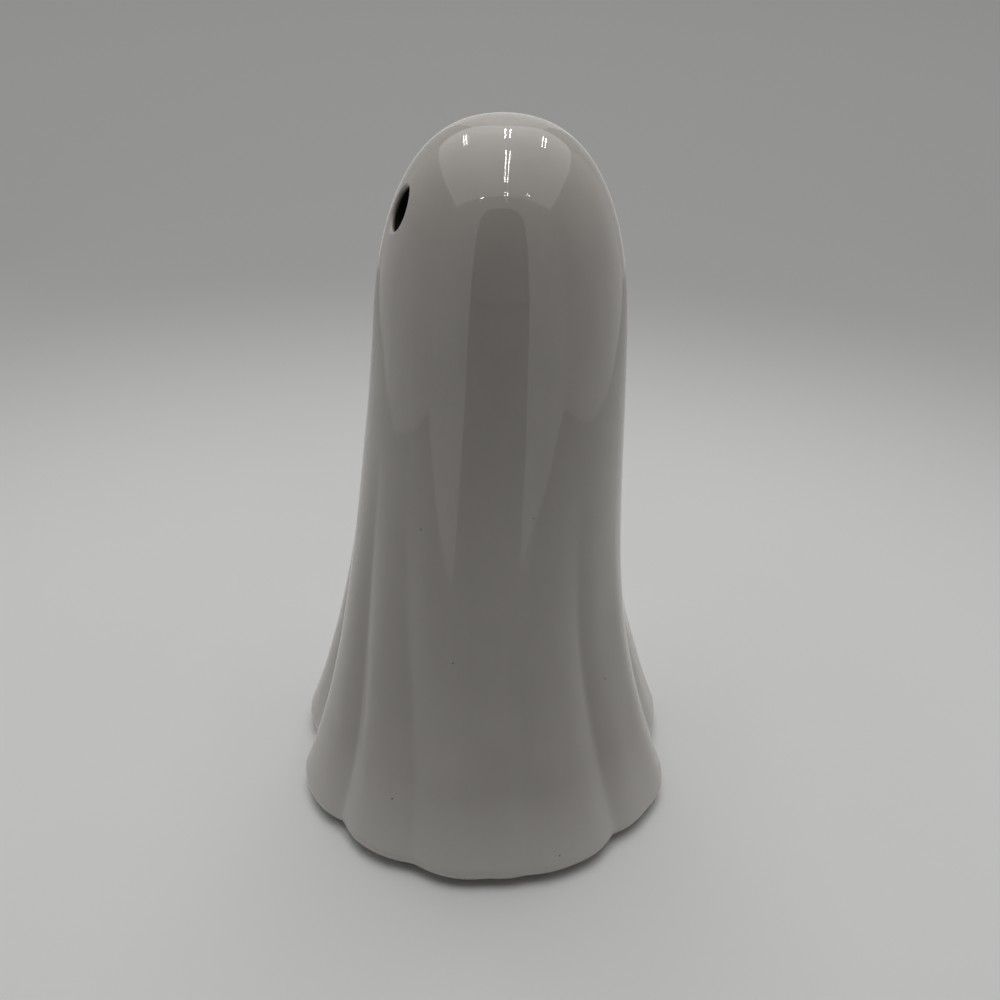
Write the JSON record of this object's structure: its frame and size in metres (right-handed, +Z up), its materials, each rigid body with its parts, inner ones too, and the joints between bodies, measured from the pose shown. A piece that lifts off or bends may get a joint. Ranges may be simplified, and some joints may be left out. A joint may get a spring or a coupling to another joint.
{
  "type": "ceramic ghost figure",
  "caption": "Hollow glazed ceramic ghost figure with a domed head, cut eyes and a folded skirt, lit from inside by a battery light unit plugged into its foot.",
  "frame": {"origin": "on the table, under the middle of the foot", "axes": "+Z up through the head, the face looks along -Y, the ghost's left side is +X"},
  "size_m": [0.0868, 0.0932, 0.165],
  "materials": {
    "white_glaze": "glossy white glaze, unglazed foot",
    "clear_pad": "translucent soft pad",
    "soft_seal": "matte soft seal",
    "white_plastic": "fine moulded texture",
    "frosted_plastic": "frosted, translucent",
    "board_green": "solder mask with tinned pads",
    "screw_steel": "zinc plated",
    "lamp_epoxy": "clear warm epoxy",
    "resistor_body": "lacquered, plain bands",
    "nickel_sheet": "nickel plated sheet",
    "black_plastic": "fine moulded texture",
    "cell_jacket": "plain printed jacket with bare ends"
  },
  "bodies": {
    "shell": {"ghost_shell": "white_glaze", "foot_pads": "clear_pad"},
    "light_unit": {"base_housing": "white_plastic", "housing_cover": "white_plastic", "cover_screws": "screw_steel", "light_diffuser": "frosted_plastic", "led_board": "board_green", "board_screws": "screw_steel", "led": "lamp_epoxy", "resistor": "resistor_body", "switch_frame": "nickel_sheet", "battery_left": "cell_jacket", "battery_right": "cell_jacket", "positive_contact": "nickel_sheet", "negative_contact": "nickel_sheet", "bridge_contact": "nickel_sheet", "gasket_ring": "soft_seal"},
    "door": {"battery_door": "white_plastic", "door_screw": "screw_steel"},
    "power_switch": {"switch_knob": "black_plastic", "switch_lever": "black_plastic"}
  },
  "joints": [
    {"name": "light_unit_pull", "type": "slide", "parent": "shell", "child": "light_unit", "axis": [0, 0, -1], "range_m": [0, 0.046]},
    {"name": "battery_door_hinge", "type": "hinge", "parent": "light_unit", "child": "door", "pos_m": [-0.02465, -0.002, 0.0012], "axis": [0, 1, 0], "range_deg": [0, 80]},
    {"name": "power_switch_slide", "type": "slide", "parent": "light_unit", "child": "power_switch", "axis": [1, 0, 0], "range_m": [0, 0.002]}
  ]
}
